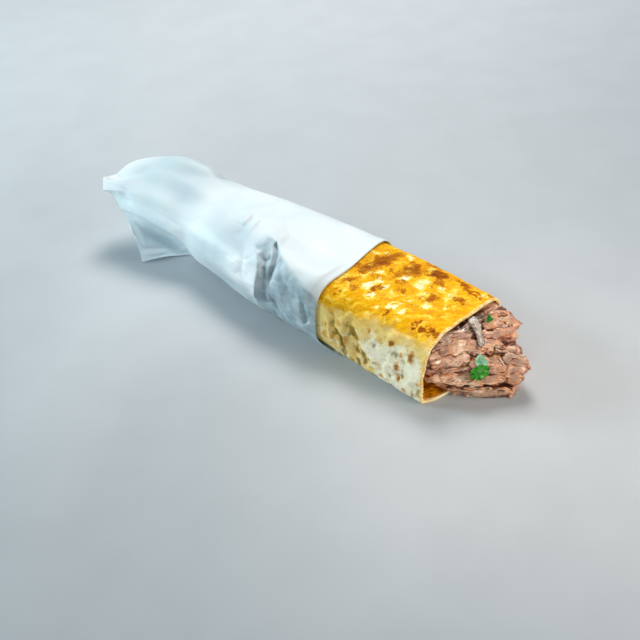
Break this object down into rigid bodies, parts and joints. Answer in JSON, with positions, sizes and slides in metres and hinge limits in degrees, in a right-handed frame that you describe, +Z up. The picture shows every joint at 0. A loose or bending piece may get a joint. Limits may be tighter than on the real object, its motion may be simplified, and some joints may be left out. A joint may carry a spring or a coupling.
{
  "type": "beef wrap",
  "caption": "Flatbread roll filled with sliced beef, open at one end, its lower part in a crumpled paper wrapper folded shut at the tail.",
  "frame": {"origin": "middle of the footprint's bounding box, on the ground", "axes": "+X along the roll towards its open end, +Y across the roll, +Z up from the ground it rests on"},
  "size_m": [0.3254, 0.0806, 0.0482],
  "materials": {
    "griddled_bread": "matt baked flatbread, golden with brown griddle marks",
    "white_paper": "thin crumpled paper with a slight sheen",
    "sliced_beef": "moist roasted meat",
    "grilled_onion": "soft glossy grilled onion",
    "parsley": "fresh leaf"
  },
  "bodies": {
    "root": {"flatbread": "griddled_bread", "paper_wrapper": "white_paper", "beef_filling": "sliced_beef", "onion_strip": "grilled_onion", "parsley_leaf": "parsley", "parsley_leaf_pale": "parsley", "parsley_sprig": "parsley"}
  },
  "joints": []
}
